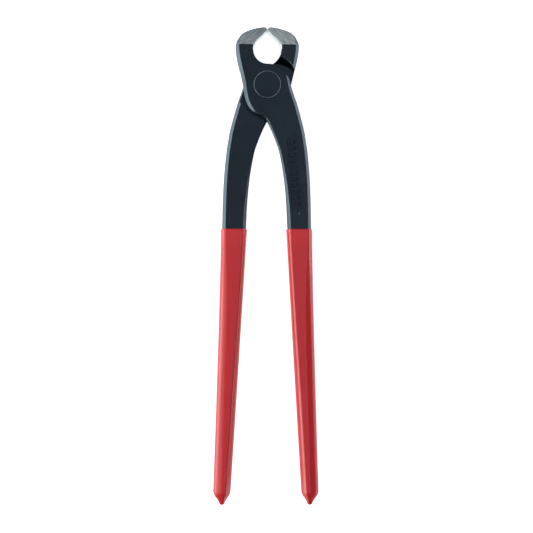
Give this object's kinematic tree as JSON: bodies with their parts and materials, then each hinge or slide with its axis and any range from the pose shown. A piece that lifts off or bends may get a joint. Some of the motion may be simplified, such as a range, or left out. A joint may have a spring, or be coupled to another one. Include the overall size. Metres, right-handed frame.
{
  "type": "end-cutting wire nippers",
  "caption": "Long-handled end-cutting nippers for tying and cutting fence wire: crossed forged levers on a flush rivet, with dipped plastic grips.",
  "frame": {"origin": "centre of the rivet's rear end, in the plane of the rear face of the joint", "axes": "+Z along the pivot axis towards the front of the tool, +Y towards the jaws, +X towards the handle of the front lever; jaws closed"},
  "size_m": [0.0622, 0.2799, 0.015],
  "materials": {
    "lever_steel": "black phosphated and oiled forging, jaw tips ground bright",
    "rivet_steel": "black, headed flush and ground over",
    "grip_plastic": "glossy red dip coating"
  },
  "bodies": {
    "rear_half": {"rear_lever": "lever_steel", "rear_lever_grip": "grip_plastic", "pivot_rivet": "rivet_steel"},
    "front_half": {"front_lever": "lever_steel", "front_lever_grip": "grip_plastic"}
  },
  "joints": [
    {"name": "pivot", "type": "hinge", "parent": "rear_half", "child": "front_half", "pos_m": [0, 0, 0], "axis": [0, 0, 1], "range_deg": [0, 50]}
  ]
}
